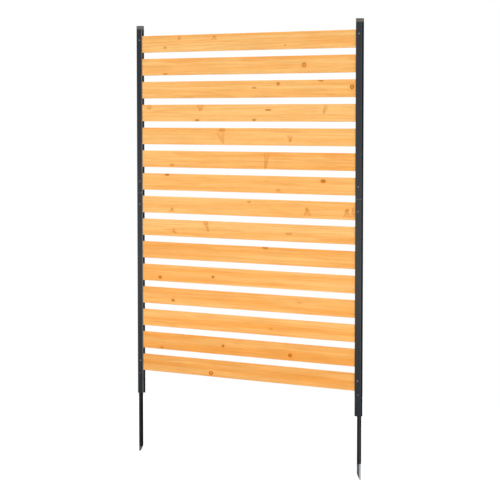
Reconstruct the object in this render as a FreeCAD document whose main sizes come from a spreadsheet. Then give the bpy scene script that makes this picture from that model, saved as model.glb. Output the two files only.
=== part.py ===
"""Garden privacy screen: wooden slats between two channel posts on ground stakes.

Units are millimetres. +X runs along the panel, the front faces -Y and +Z is up. The
origin lies midway between the posts, on their middle plane, at the ground line where the
posts end and the bare length of the stakes begins.
"""

import FreeCAD, Part
import os

import Sketcher

doc = FreeCAD.newDocument("garden_privacy_screen")
sheet = doc.addObject("Spreadsheet::Sheet", "sizes")

# --------------------------------------------------------------------------------------
# Driving dimensions
# --------------------------------------------------------------------------------------
DRIVING_SIZES = [
    # whole screen
    ("overall_width", 900, "outer face of one post to outer face of the other"),
    # wooden slats
    ("slat_height", 58, "height of one slat"),
    ("slat_thickness", 9.5, "front to back"),
    ("slat_gap", 22, "open height between two slats"),
    ("slat_edge_radius", 1.2, "rounding of the four long edges"),
    ("slat_end_gap", 2, "slat end to joiner, for the wood to swell"),
    ("slat_side_clearance", 0.25, "slat face to the rolled lip of the post"),
    # channel posts
    ("post_width", 23, "section length along the panel"),
    ("post_wall", 1.2, "sheet thickness of the channel"),
    ("lip_depth", 2.5, "how far the rolled lips return over the opening"),
    ("lip_flat", 0.4, "straight end of a rolled lip past its bend"),
    ("web_corner_radius", 1.1, "outer radius beside the web"),
    ("top_margin", 24, "top slat to the upper end of the post"),
    ("foot_margin", 83, "bottom slat to the lower end of the post"),
    # joiners inside the posts
    ("joiner_wall", 1.2, "sheet thickness of the joiner"),
    ("joiner_length", 124, "half of it in each length of post"),
    ("joiner_clearance", 0.15, "joiner to the inside of the post"),
    # spacers between slat ends
    ("spacer_wall", 2.2, "wall of the spacer"),
    ("spacer_setback", 1.5, "spacer's face behind the post's lips"),
    # caps
    ("cap_height", 12, "visible height"),
    ("cap_edge_radius", 1.5, "rounding of the upper edge"),
    ("plug_length", 14, "how far the plug reaches into the post"),
    ("plug_wall", 1.8, "wall of the hollow plug"),
    ("plug_clearance", 0.2, "plug to the inside of the post"),
    # ground stakes
    ("stake_width", 10.8, "section length along the panel"),
    ("stake_wall", 1.6, "sheet thickness"),
    ("stake_bend_inside", 0.8, "inner radius beside the web"),
    ("stake_exposed", 210, "length below the post"),
    ("stake_top_gap", 3, "stake's upper end to the bottom slat"),
    ("stake_side_clearance", 0.4, "stake to the back wall, while the front walls touch"),
    ("stake_web_gap", 1.2, "stake to the post's web"),
    ("stake_point_rise", 20, "height of the slanting cut at the point"),
    # slat screws
    ("screw_inset", 11.5, "post's outer face to the screw's axis"),
    ("screw_shank", 3.2, "shank diameter"),
    ("screw_head", 6, "head diameter"),
    ("screw_head_height", 1.8, "head height"),
    ("screw_length", 9, "under the head"),
    ("screw_taper", 1.6, "length of the tapered point"),
    ("screw_hole_clearance", 0.3, "shank to the hole in sheet metal, all round"),
    ("pilot_clearance", 0.05, "shank to the hole in the wood, all round"),
    ("pilot_spare", 1, "hole in the wood past the screw's point"),
    ("first_screw_drop", 14, "top slat's upper edge to its screw"),
    ("middle_screw_drop", 29, "upper edge to the screw on the slats beside the joint"),
    ("last_screw_drop", 24, "bottom slat's upper edge to its screw"),
    # stake bolts and nuts
    ("bolt_drop", 9, "stake's upper end to the bolt's axis"),
    ("bolt_offset", 7, "stake's outer face to the bolt's axis"),
    ("bolt_shank", 4, "shank diameter"),
    ("bolt_head", 7.6, "head diameter"),
    ("bolt_head_height", 2.2, "head height"),
    ("bolt_end", 1.2, "shank past the nut"),
    ("bolt_point", 0.6, "length of the bevelled end"),
    ("bolt_hole_clearance", 0.25, "shank to the holes in sheet metal, all round"),
    ("nut_across_corners", 8, "hexagon across its corners"),
    ("nut_height", 3.2, "thickness of the nut"),
    ("nut_clearance", 0.05, "shank to the bore of the nut, all round"),
]

SLAT_COUNT = 15
SLATS_ABOVE_JOINT = 7

for row, (alias, size, note) in enumerate(DRIVING_SIZES, start=1):
    sheet.set(f"A{row}", note)
    sheet.set(f"B{row}", str(size))
    sheet.setAlias(f"B{row}", alias)
doc.recompute()

# --------------------------------------------------------------------------------------
# Derived sizes, as rules in the sheet's names
# --------------------------------------------------------------------------------------
LEFT_FACE = "(-sizes.overall_width / 2)"
POST_DEPTH = "(sizes.slat_thickness + 2 * sizes.slat_side_clearance + 2 * sizes.lip_depth)"
POST_FRONT = f"(-{POST_DEPTH} / 2)"
POST_INSIDE = f"({POST_DEPTH} / 2 - sizes.post_wall)"
SLAT_PITCH = "(sizes.slat_height + sizes.slat_gap)"
BOTTOM_SLAT = "sizes.foot_margin"
TOP_SLAT = f"({BOTTOM_SLAT} + {SLAT_COUNT - 1} * {SLAT_PITCH})"
POST_TOP = f"({TOP_SLAT} + sizes.slat_height + sizes.top_margin)"
JOINT_HEIGHT = (f"({BOTTOM_SLAT} + {SLAT_COUNT - SLATS_ABOVE_JOINT} * {SLAT_PITCH}"
                " - sizes.slat_gap / 2)")
JOINER_INSET = "(sizes.post_wall + sizes.joiner_clearance)"
SLAT_INSET = f"({JOINER_INSET} + sizes.joiner_wall + sizes.slat_end_gap)"
SLAT_LENGTH = f"(sizes.overall_width - 2 * {SLAT_INSET})"
STAKE_WEB_INSET = "(sizes.post_wall + sizes.stake_web_gap)"
STAKE_SIDE = f"({POST_INSIDE} - sizes.stake_side_clearance / 2)"
STAKE_IN_POST = "(sizes.foot_margin - sizes.stake_top_gap)"
STAKE_LENGTH = f"(sizes.stake_exposed + {STAKE_IN_POST})"
LIP_RADIUS = "(sizes.lip_depth - sizes.lip_flat)"
SHEET_METAL_HOLE = "(sizes.screw_shank / 2 + sizes.screw_hole_clearance)"
PILOT_RADIUS = "(sizes.screw_shank / 2 + sizes.pilot_clearance)"
BOLT_HOLE_RADIUS = "(sizes.bolt_shank / 2 + sizes.bolt_hole_clearance)"
BOLT_HEIGHT = f"({STAKE_IN_POST} - sizes.bolt_drop)"
BOLT_INSET = f"({STAKE_WEB_INSET} + sizes.bolt_offset)"
SCREWED_SLATS = {
    1: "sizes.first_screw_drop",
    SLATS_ABOVE_JOINT: "sizes.middle_screw_drop",
    SLATS_ABOVE_JOINT + 1: "sizes.middle_screw_drop",
    SLAT_COUNT: "sizes.last_screw_drop",
}


def number(rule):
    """Value of a rule that is written in the sheet's names."""
    return float(sheet.evalExpression(rule))


def slat_bottom(index):
    """Rule for the lower edge of a slat, where slat 1 is the top one."""
    return f"({BOTTOM_SLAT} + {SLAT_COUNT - index} * {SLAT_PITCH})"


def screw_height(index):
    """Rule for the height of the screws in a slat."""
    return f"({slat_bottom(index)} + sizes.slat_height - {SCREWED_SLATS[index]})"


# --------------------------------------------------------------------------------------
# Helpers for sketches, features and placements
# --------------------------------------------------------------------------------------
def new_body(label):
    """Empty body that carries the sub-part's name."""
    body = doc.addObject("PartDesign::Body", label)
    body.Label = label
    return body


def place(piece, along="0", back="0", up="0"):
    """Bind a piece's position to rules."""
    piece.setExpression(".Placement.Base.x", along)
    piece.setExpression(".Placement.Base.y", back)
    piece.setExpression(".Placement.Base.z", up)


def new_sketch(body, name, plane):
    """Empty sketch on one of the body's own origin planes."""
    sketch = body.newObject("Sketcher::SketchObject", name)
    support = [item for item in body.Origin.OriginFeatures if item.Role == plane][0]
    sketch.AttachmentSupport = [(support, "")]
    sketch.MapMode = "FlatFace"
    return sketch


def dimension(sketch, kind, element, point, rule):
    """Distance of a point from the sketch's origin, bound to a rule."""
    constraint = Sketcher.Constraint(kind, -1, 1, element, point, number(rule))
    index = sketch.addConstraint(constraint)
    sketch.setExpression(f"Constraints[{index}]", rule)


def outline(body, name, plane, corners):
    """Closed outline of straight lines, each corner dimensioned from the origin."""
    sketch = new_sketch(body, name, plane)
    points = [FreeCAD.Vector(number(across), number(up), 0) for across, up in corners]
    count = len(points)
    for index in range(count):
        line = Part.LineSegment(points[index], points[(index + 1) % count])
        sketch.addGeometry(line, False)
    for index in range(count):
        joint = Sketcher.Constraint("Coincident", index, 2, (index + 1) % count, 1)
        sketch.addConstraint(joint)
    for index, (across, up) in enumerate(corners):
        dimension(sketch, "DistanceX", index, 1, across)
        dimension(sketch, "DistanceY", index, 1, up)
    return sketch


def rectangle(body, name, plane, low, high):
    """Rectangle between two corners."""
    corners = [(low[0], low[1]), (high[0], low[1]), (high[0], high[1]), (low[0], high[1])]
    return outline(body, name, plane, corners)


def pad(body, name, sketch, length, reverse=False, symmetric=False):
    """Solid raised from a sketch."""
    feature = body.newObject("PartDesign::Pad", name)
    feature.Profile = sketch
    feature.setExpression("Length", length)
    feature.Reversed = reverse
    feature.Midplane = symmetric
    doc.recompute()
    return feature


def pocket(body, name, sketch, length, reverse=False, symmetric=False):
    """Cut that must take material away."""
    volume_before = body.Shape.Volume
    feature = body.newObject("PartDesign::Pocket", name)
    feature.Profile = sketch
    feature.setExpression("Length", length)
    feature.Reversed = reverse
    feature.Midplane = symmetric
    doc.recompute()
    if body.Shape.Volume >= volume_before:
        raise ValueError(f"{body.Label}: {name} cut nothing")
    return feature


def round_edges(body, name, chosen, radius):
    """Fillet on the edges of the body's last feature that the test picks."""
    base = body.Tip
    edges = base.Shape.Edges
    names = [f"Edge{index + 1}" for index, edge in enumerate(edges) if chosen(edge)]
    if not names:
        raise ValueError(f"{body.Label}: {name} found no edge")
    feature = body.newObject("PartDesign::Fillet", name)
    feature.Base = (base, names)
    feature.setExpression("Radius", radius)
    doc.recompute()
    return feature


def runs_along(edge, axis):
    """True for a straight edge that is parallel to an axis."""
    if not isinstance(edge.Curve, (Part.Line, Part.LineSegment)):
        return False
    return abs(abs(edge.tangentAt(edge.FirstParameter).dot(axis)) - 1) < 1e-6


def upright_at(across, depth):
    """Test for the two upright edges at one distance across, in front and behind."""
    def chosen(edge):
        if not runs_along(edge, FreeCAD.Vector(0, 0, 1)):
            return False
        middle = edge.CenterOfMass
        return (abs(middle.x - number(across)) < 1e-4
                and abs(abs(middle.y) - number(depth)) < 1e-4)
    return chosen


def front_holes(body, name, holes, past_middle="0"):
    """Round holes cut forwards: (across, up, radius) rules for each.

    They start at the screen's middle plane, or as far behind it as past_middle says.
    """
    sketch = new_sketch(body, name + "_sketch", "XZ_Plane")
    sketch.setExpression(".AttachmentOffset.Base.z", f"(-{past_middle})")
    for index, (across, up, radius) in enumerate(holes):
        centre = FreeCAD.Vector(number(across), number(up), 0)
        circle = Part.Circle(centre, FreeCAD.Vector(0, 0, 1), number(radius))
        sketch.addGeometry(circle, False)
        dimension(sketch, "DistanceX", index, 3, across)
        dimension(sketch, "DistanceY", index, 3, up)
        size = sketch.addConstraint(Sketcher.Constraint("Radius", index, number(radius)))
        sketch.setExpression(f"Constraints[{size}]", radius)
    pocket(body, name, sketch, POST_DEPTH, reverse=True)


def mirrored(label, left_piece):
    """Right-hand twin of a left-hand piece, across the screen's middle."""
    twin = doc.addObject("Part::Mirroring", label)
    twin.Label = label
    twin.Source = left_piece
    twin.Base = FreeCAD.Vector(0, 0, 0)
    twin.Normal = FreeCAD.Vector(1, 0, 0)
    return twin


# --------------------------------------------------------------------------------------
# Channel posts, each in two lengths
# --------------------------------------------------------------------------------------
def post(label, foot, head, screwed, with_bolt):
    """Channel with rolled lips that opens towards the slats, from foot to head."""
    body = new_body(label)
    lip_inside = "(sizes.post_width - sizes.post_wall)"
    half_depth = f"({POST_DEPTH} / 2)"
    lip_end = f"({half_depth} - sizes.lip_depth)"
    back_half = [
        ("0", half_depth),
        ("sizes.post_width", half_depth),
        ("sizes.post_width", lip_end),
        (lip_inside, lip_end),
        (lip_inside, POST_INSIDE),
        ("sizes.post_wall", POST_INSIDE),
    ]
    front_half = [(across, f"(-{depth})") for across, depth in reversed(back_half)]
    section = outline(body, f"{label}_section", "XY_Plane", back_half + front_half)
    pad(body, f"{label}_channel", section, f"({head} - {foot})")
    round_edges(body, f"{label}_web_corners", upright_at("0", half_depth),
                "sizes.web_corner_radius")
    round_edges(body, f"{label}_lips", upright_at("sizes.post_width", half_depth),
                LIP_RADIUS)
    round_edges(body, f"{label}_lip_insides", upright_at(lip_inside, POST_INSIDE),
                f"({LIP_RADIUS} - sizes.post_wall)")
    holes = []
    for index in screwed:
        holes.append(("sizes.screw_inset", f"({screw_height(index)} - {foot})",
                      SHEET_METAL_HOLE))
    if with_bolt:
        holes.append((BOLT_INSET, f"({BOLT_HEIGHT} - {foot})", BOLT_HOLE_RADIUS))
    front_holes(body, f"{label}_holes", holes)
    place(body, LEFT_FACE, up=foot)
    return body


# --------------------------------------------------------------------------------------
# Joiners: short channels that bridge the two lengths of a post
# --------------------------------------------------------------------------------------
def joiner(label):
    """Plain channel inside the post that the slat ends beside the joint sit in."""
    body = new_body(label)
    outside = f"({POST_INSIDE} - sizes.joiner_clearance)"
    inside = f"({outside} - sizes.joiner_wall)"
    reach = f"(sizes.post_width - {LIP_RADIUS} - sizes.joiner_clearance - {JOINER_INSET})"
    section = outline(body, f"{label}_section", "XY_Plane", [
        ("0", f"(-{outside})"),
        (reach, f"(-{outside})"),
        (reach, f"(-{inside})"),
        ("sizes.joiner_wall", f"(-{inside})"),
        ("sizes.joiner_wall", inside),
        (reach, inside),
        (reach, outside),
        ("0", outside),
    ])
    pad(body, f"{label}_channel", section, "sizes.joiner_length")
    foot = f"({JOINT_HEIGHT} - sizes.joiner_length / 2)"
    holes = []
    for index in (SLATS_ABOVE_JOINT, SLATS_ABOVE_JOINT + 1):
        holes.append((f"(sizes.screw_inset - {JOINER_INSET})",
                      f"({screw_height(index)} - {foot})", SHEET_METAL_HOLE))
    front_holes(body, f"{label}_holes", holes)
    place(body, f"({LEFT_FACE} + {JOINER_INSET})", up=foot)
    return body


# --------------------------------------------------------------------------------------
# Wooden slats
# --------------------------------------------------------------------------------------
def slat(index):
    """Planed board with eased long edges, and pilot holes where screws hold it."""
    label = f"slat_{index:02d}"
    body = new_body(label)
    half_thickness = "(sizes.slat_thickness / 2)"
    section = rectangle(body, f"{label}_section", "YZ_Plane",
                        (f"(-{half_thickness})", "0"), (half_thickness, "sizes.slat_height"))
    pad(body, f"{label}_board", section, SLAT_LENGTH, symmetric=True)
    round_edges(body, f"{label}_eased_edges",
                lambda edge: runs_along(edge, FreeCAD.Vector(1, 0, 0)),
                "sizes.slat_edge_radius")
    if index in SCREWED_SLATS:
        across = "(sizes.overall_width / 2 - sizes.screw_inset)"
        up = f"(sizes.slat_height - {SCREWED_SLATS[index]})"
        front_holes(body, f"{label}_pilots",
                    [(f"(-{across})", up, PILOT_RADIUS), (across, up, PILOT_RADIUS)],
                    past_middle=f"({POST_FRONT} + sizes.screw_length + sizes.pilot_spare)")
    place(body, up=slat_bottom(index))
    return body


# --------------------------------------------------------------------------------------
# Spacers that keep the slats apart inside the posts
# --------------------------------------------------------------------------------------
def spacer(label, index):
    """Hollow block under the left end of a slat, open towards the post's web."""
    body = new_body(label)
    half = "(sizes.slat_thickness / 2)"
    hollow = f"({half} - sizes.spacer_wall)"
    reach = f"(sizes.post_width - sizes.spacer_setback - {SLAT_INSET})"
    hollow_end = f"({reach} - sizes.spacer_wall)"
    section = outline(body, f"{label}_section", "XY_Plane", [
        ("0", f"(-{half})"),
        (reach, f"(-{half})"),
        (reach, half),
        ("0", half),
        ("0", hollow),
        (hollow_end, hollow),
        (hollow_end, f"(-{hollow})"),
        ("0", f"(-{hollow})"),
    ])
    pad(body, f"{label}_block", section, "sizes.slat_gap")
    place(body, f"({LEFT_FACE} + {SLAT_INSET})",
          up=f"({slat_bottom(index)} - sizes.slat_gap)")
    return body


# --------------------------------------------------------------------------------------
# Caps on the posts
# --------------------------------------------------------------------------------------
def cap(label):
    """Moulded cap with the post's outline and a hollow plug below it."""
    body = new_body(label)
    half_depth = f"({POST_DEPTH} / 2)"
    top = rectangle(body, f"{label}_outline", "XY_Plane",
                    ("0", f"(-{half_depth})"), ("sizes.post_width", half_depth))
    pad(body, f"{label}_top", top, "sizes.cap_height")
    round_edges(body, f"{label}_web_corners", upright_at("0", half_depth),
                "sizes.web_corner_radius")
    round_edges(body, f"{label}_lip_corners", upright_at("sizes.post_width", half_depth),
                LIP_RADIUS)
    cap_height = number("sizes.cap_height")
    round_edges(body, f"{label}_upper_edge",
                lambda edge: min(v.Point.z for v in edge.Vertexes) > cap_height - 1e-4,
                "sizes.cap_edge_radius")
    inset = "(sizes.post_wall + sizes.plug_clearance)"
    plug_side = f"({POST_INSIDE} - sizes.plug_clearance)"
    plug_reach = f"(sizes.post_width - {LIP_RADIUS} - sizes.plug_clearance)"
    plug = rectangle(body, f"{label}_plug_outline", "XY_Plane",
                     (inset, f"(-{plug_side})"), (plug_reach, plug_side))
    pad(body, f"{label}_plug", plug, "sizes.plug_length", reverse=True)
    hollow = rectangle(body, f"{label}_hollow_outline", "XY_Plane",
                       (f"({inset} + sizes.plug_wall)", f"(-{plug_side} + sizes.plug_wall)"),
                       (f"({plug_reach} - sizes.plug_wall)", f"({plug_side} - sizes.plug_wall)"))
    pocket(body, f"{label}_hollow", hollow, "sizes.plug_length")
    place(body, LEFT_FACE, up=POST_TOP)
    return body


# --------------------------------------------------------------------------------------
# Ground stakes
# --------------------------------------------------------------------------------------
def stake(label):
    """Channel with its web outside, cut on the slant to a point at its lower end."""
    body = new_body(label)
    side = STAKE_SIDE
    inner_side = f"({side} - sizes.stake_wall)"
    section = outline(body, f"{label}_section", "XY_Plane", [
        ("0", f"(-{side})"),
        ("sizes.stake_width", f"(-{side})"),
        ("sizes.stake_width", f"(-{inner_side})"),
        ("sizes.stake_wall", f"(-{inner_side})"),
        ("sizes.stake_wall", inner_side),
        ("sizes.stake_width", inner_side),
        ("sizes.stake_width", side),
        ("0", side),
    ])
    pad(body, f"{label}_channel", section, STAKE_LENGTH)
    round_edges(body, f"{label}_bends", upright_at("0", side),
                "(sizes.stake_bend_inside + sizes.stake_wall)")
    round_edges(body, f"{label}_inner_bends", upright_at("sizes.stake_wall", inner_side),
                "sizes.stake_bend_inside")
    slant = outline(body, f"{label}_slant", "XZ_Plane", [
        ("0", "0"),
        ("sizes.stake_width", "0"),
        ("sizes.stake_width", "sizes.stake_point_rise"),
    ])
    pocket(body, f"{label}_point", slant, POST_DEPTH, symmetric=True)
    front_holes(body, f"{label}_hole",
                [("sizes.bolt_offset", f"({BOLT_HEIGHT} + sizes.stake_exposed)",
                  BOLT_HOLE_RADIUS)])
    place(body, f"({LEFT_FACE} + {STAKE_WEB_INSET})", "(-sizes.stake_side_clearance / 2)",
          "(-sizes.stake_exposed)")
    return body


# --------------------------------------------------------------------------------------
# Fasteners
# --------------------------------------------------------------------------------------
RIM_SHARE = 0.45    # of the head's height: its straight rim
CROWN_SHARE = 0.6   # of the head's diameter: its flat crown
TIP_SHARE = 0.5     # of the shank's diameter: its flat tip


def turned_fastener(label, head, head_height, shank, length, taper, across, up):
    """Turned blank of a screw whose head seats on the post's front face."""
    body = new_body(label)
    rim_height = f"({head_height} * {RIM_SHARE})"
    crown = f"({head} / 2 * {CROWN_SHARE})"
    tip = f"({shank} / 2 * {TIP_SHARE})"
    profile = outline(body, f"{label}_profile", "XY_Plane", [
        ("0", f"(-{head_height})"),
        (crown, f"(-{head_height})"),
        (f"({head} / 2)", f"(-{rim_height})"),
        (f"({head} / 2)", "0"),
        (f"({shank} / 2)", "0"),
        (f"({shank} / 2)", f"({length} - {taper})"),
        (tip, length),
        ("0", length),
    ])
    turned = body.newObject("PartDesign::Revolution", f"{label}_turned")
    turned.Profile = profile
    turned.ReferenceAxis = (profile, ["V_Axis"])
    turned.Angle = 360
    place(body, f"({LEFT_FACE} + {across})", POST_FRONT, up)
    return body


def slat_screws(label):
    """The four screws of one post, as one group."""
    screws = []
    for index in SCREWED_SLATS:
        screws.append(turned_fastener(
            f"{label}_slat_{index}", "sizes.screw_head", "sizes.screw_head_height",
            "sizes.screw_shank", "sizes.screw_length", "sizes.screw_taper",
            "sizes.screw_inset", screw_height(index)))
    group = doc.addObject("Part::Compound", label)
    group.Label = label
    group.Links = screws
    return group


def stake_bolt(label):
    """Bolt through the front walls of post and stake."""
    grip = "(sizes.post_wall + sizes.stake_wall)"
    length = f"({grip} + sizes.nut_height + sizes.bolt_end)"
    return turned_fastener(label, "sizes.bolt_head", "sizes.bolt_head_height",
                           "sizes.bolt_shank", length, "sizes.bolt_point",
                           BOLT_INSET, BOLT_HEIGHT)


def stake_nut(label):
    """Hexagon nut on the inner face of the stake's front leg."""
    body = new_body(label)
    corner = "(sizes.nut_across_corners / 2)"
    half_flat = f"({corner} / 2)"
    flat = f"({corner} * sqrt(3) / 2)"
    corners = [(corner, "0"), (half_flat, flat), (f"(-{half_flat})", flat),
               (f"(-{corner})", "0"), (f"(-{half_flat})", f"(-{flat})"),
               (half_flat, f"(-{flat})")]
    hexagon = outline(body, f"{label}_hexagon", "XZ_Plane", corners)
    pad(body, f"{label}_blank", hexagon, "sizes.nut_height", reverse=True)
    bore = new_sketch(body, f"{label}_bore_sketch", "XZ_Plane")
    radius = "(sizes.bolt_shank / 2 + sizes.nut_clearance)"
    bore.addGeometry(Part.Circle(FreeCAD.Vector(0, 0, 0), FreeCAD.Vector(0, 0, 1),
                                 number(radius)), False)
    bore.addConstraint(Sketcher.Constraint("Coincident", 0, 3, -1, 1))
    size = bore.addConstraint(Sketcher.Constraint("Radius", 0, number(radius)))
    bore.setExpression(f"Constraints[{size}]", radius)
    pocket(body, f"{label}_bore", bore, "sizes.nut_height")
    seat = f"(sizes.stake_wall - {POST_INSIDE})"
    place(body, f"({LEFT_FACE} + {BOLT_INSET})", seat, BOLT_HEIGHT)
    return body


# --------------------------------------------------------------------------------------
# The assembly
# --------------------------------------------------------------------------------------
subparts = []

left_pieces = {
    "upper_left_post": post("upper_left_post", JOINT_HEIGHT, POST_TOP,
                            [1, SLATS_ABOVE_JOINT], with_bolt=False),
    "lower_left_post": post("lower_left_post", "0", JOINT_HEIGHT,
                            [SLATS_ABOVE_JOINT + 1, SLAT_COUNT], with_bolt=True),
    "left_post_joiner": joiner("left_post_joiner"),
    "left_cap": cap("left_cap"),
    "left_stake": stake("left_stake"),
    "left_slat_screws": slat_screws("left_slat_screws"),
    "left_stake_bolt": stake_bolt("left_stake_bolt"),
    "left_stake_nut": stake_nut("left_stake_nut"),
}
for index in range(1, SLAT_COUNT):
    label = f"left_spacer_{index:02d}"
    left_pieces[label] = spacer(label, index)

for label, piece in left_pieces.items():
    subparts.append(piece)
    subparts.append(mirrored(label.replace("left", "right"), piece))

for index in range(1, SLAT_COUNT + 1):
    subparts.append(slat(index))

doc.recompute()

# --------------------------------------------------------------------------------------
# Checks, then one file for each sub-part
# --------------------------------------------------------------------------------------
for item in doc.Objects:
    if "Invalid" in item.State or "Error" in item.State:
        raise ValueError(f"{item.Label} did not compute: {item.State}")
for piece in subparts:
    if piece.Shape.isNull() or not piece.Shape.isValid():
        raise ValueError(f"{piece.Label} has no valid shape")

os.makedirs("parts", exist_ok=True)
for piece in subparts:
    piece.Shape.exportStep(f"parts/{piece.Label}.step")
    print(f"{piece.Label}: {len(piece.Shape.Solids)} solid, {piece.Shape.Volume:.1f} mm3")
print(f"{len(subparts)} sub-parts")
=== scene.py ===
"""Garden privacy screen: fifteen wooden slats in two dark steel posts on pointed stakes.

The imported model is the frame: every length is in metres, X runs along the panel, the front faces -Y
and the ground line is Z = 0. The solids keep their shape. This script gives them their finishes and
puts fully shaped screws and bolts in place of the plain ones.
"""
import math
import random
from collections import namedtuple

import bmesh
import bpy
from mathutils import Matrix, Vector


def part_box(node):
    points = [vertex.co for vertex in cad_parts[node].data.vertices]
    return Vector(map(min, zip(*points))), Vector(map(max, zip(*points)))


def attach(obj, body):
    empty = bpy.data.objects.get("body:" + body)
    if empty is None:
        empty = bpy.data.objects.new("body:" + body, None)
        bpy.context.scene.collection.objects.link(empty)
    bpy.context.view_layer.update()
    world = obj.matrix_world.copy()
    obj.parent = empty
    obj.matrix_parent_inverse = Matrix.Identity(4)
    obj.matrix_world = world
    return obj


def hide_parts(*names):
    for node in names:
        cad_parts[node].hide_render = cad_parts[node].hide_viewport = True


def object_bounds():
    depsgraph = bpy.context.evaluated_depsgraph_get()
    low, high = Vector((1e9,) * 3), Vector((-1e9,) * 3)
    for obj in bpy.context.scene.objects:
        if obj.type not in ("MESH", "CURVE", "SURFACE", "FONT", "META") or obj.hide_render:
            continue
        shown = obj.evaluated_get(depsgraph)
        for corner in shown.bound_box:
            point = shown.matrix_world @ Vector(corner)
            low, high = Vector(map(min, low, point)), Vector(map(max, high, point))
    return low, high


MM = 0.001
BODY = "root"
SIDES = ("left", "right")
SLAT_COUNT = 15
# The seed of all random draws.
SEED = 15

# ---------------------------------------------------------------- camera, stage and light

# Camera, found from the outlines of the slats and posts in the photograph. Angles are in degrees,
# and the sensor and lens are in millimetres.
CAMERA_PLACE = (3.0657, -4.7899, 0.9833)
CAMERA_TURN = 32.47
CAMERA_DIP = 3.56
CAMERA_SENSOR = 36.0
CAMERA_LENS = 120.9
CAMERA_SHIFT_Y = -0.06
CAMERA_REACH = 60.0

# The floor glows, so that it comes out as white as the ground in the photograph.
FLOOR_RADIUS = 1.5
FLOOR_CORNERS = 96
FLOOR_TONE = (0.26, 0.26, 0.258)
FLOOR_CLOUD_SHARE = 0.985
FLOOR_CLOUD_PATTERN = 2.0
FLOOR_GLOW = 0.68
FLOOR_ROUGHNESS = 0.9

# Suns: name, where each comes from, strength, and spread in degrees.
SUNS = (
    ("overhead", (0.0, -0.15, 1.0), 3.2, 70.0),
    ("behind", (0.0, 1.0, 0.32), 2.3, 34.0),
)
# Round soft lights of the room: where each stands, its level, and the angles from its middle, in
# degrees, at which it starts to fade and ends.
SOFT_LIGHTS = (
    ((0.86, -0.46, 0.22), 3.2, 26.0, 50.0),
    ((-0.75, 0.60, 0.20), 1.0, 25.0, 55.0),
)
# The room's level by direction, from straight behind the panel (0) to straight in front of it (1).
ROOM_LEVELS = ((0.0, 0.05), (0.45, 0.14), (0.88, 0.62), (0.95, 1.0))
# The room's tone by height, from straight below (0) over the horizon (0.5) to straight above (1): a
# dark foot, a bright warm band and a cooler plain wall. The posts' coat shows them in its sheen.
WALL_TONES = (
    (0.398, (0.08, 0.09, 0.10)),
    (0.417, (0.14, 0.15, 0.17)),
    (0.430, (0.78, 0.79, 0.79)),
    (0.441, (1.85, 1.80, 1.74)),
    (0.466, (1.98, 1.92, 1.80)),
    (0.477, (1.05, 1.08, 1.12)),
    (0.540, (0.89, 0.97, 1.06)),
)
# Seen only as a sheen: a round light straight behind the panel, given as above, and a pale low wall
# all round, with its level by height.
SHEEN_BEHIND = ((0.0, 1.0, -0.14), 0.75, 9.0, 24.0)
SHEEN_LOW = ((0.366, 0.65), (0.386, 0.0))

# ---------------------------------------------------------------- wood

# Knots by slat: place along the panel and above the slat's middle, half length and half height, all
# in millimetres, then depth of tone, and how hollow its middle is (1 is an open ring).
KNOTS = {
    1: [(-269, 19, 4, 6, 0.50, 0.2), (-329, -13, 6, 3.5, 0.55, 0.1), (159, -15, 3, 3, 0.45, 0.0)],
    2: [(232, -2, 7.5, 7, 0.85, 1.0), (-329, -25, 8, 3, 0.60, 0.0)],
    3: [(132, 17, 5, 4.5, 0.80, 0.0), (37, 4, 7, 2.5, 0.75, 0.1), (297, 25, 9, 2.2, 0.80, 0.0),
        (413, 4, 8, 7.5, 0.90, 0.3)],
    4: [(-398, 21, 9, 8, 0.42, 1.0), (93, 10, 11, 2, 1.0, 0.0), (-195, -25, 8, 3, 0.85, 0.0),
        (37, -24, 6, 3.5, 0.75, 0.0)],
    5: [(-92, 22, 12, 5, 0.45, 0.1)],
    6: [(-301, -20, 8, 4, 0.50, 0.3)],
    7: [(-322, 26, 8, 3.5, 0.95, 0.0), (306, 16, 9, 5, 0.92, 0.0), (132, -19, 8, 4, 0.40, 0.4)],
    8: [(17, 19, 7, 3, 0.55, 0.2)],
    9: [(-160, 22, 9, 6, 0.50, 1.0), (175, -3, 12, 3, 0.48, 0.1)],
    10: [(81, 27, 10, 4, 0.85, 0.1)],
    11: [(-353, -15, 6, 5, 1.0, 0.3), (-130, -3, 5, 4, 0.95, 0.1)],
    12: [(-298, -13, 6, 4, 1.0, 0.1), (215, 9, 8, 2.5, 0.28, 0.1)],
    13: [(105, -7, 7, 3, 0.38, 0.2)],
    14: [(-89, 1, 5, 4.5, 1.0, 0.1), (180, -11, 7, 6, 1.0, 0.0), (-346, -22, 6, 3, 0.75, 0.1)],
    15: [(-139, -17, 8.5, 7, 1.0, 0.85)],
}
# Branches cut lengthwise, by slat: the point they fan out from, along the panel and above the slat's
# middle, the way they fan out in degrees from upright, then their length and their half width at the
# open end, and their depth of tone. Places and lengths are in millimetres.
BRANCHES = {
    1: [(-124, 24, 180, 17, 10, 0.60)],
    4: [(307, -4, 20, 38, 7, 0.50), (-182, 6, 0, 27, 15, 0.65)],
    5: [(-88, -26, -15, 50, 15, 0.45), (177, -18, 4, 26, 10, 0.65)],
    6: [(81, -28, 8, 58, 9, 0.55)],
    8: [(245, 8, 180, 32, 12, 0.75), (396, 8, 183, 32, 13, 0.85), (419, 14, 182, 39, 6, 0.60),
        (-301, -9, 180, 15, 9, 0.90)],
    9: [(-148, -8, -21, 36, 7, 0.60), (-284, -20, -42, 26, 4, 0.60)],
}
# How far each slat leans from pale honey (0) to deep orange (1), top slat first.
SLAT_WARMTH = (0.08, 0.38, 0.20, 0.18, 0.36, 0.48, 0.28, 0.36, 0.28, 0.68, 0.48, 0.70, 0.56, 0.94, 0.74)
# How strongly a slat's bands of tone differ, for those livelier or plainer than the rest.
SLAT_SWING = {1: 1.7, 2: 1.2, 6: 0.9, 10: 0.5, 12: 1.1}
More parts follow.
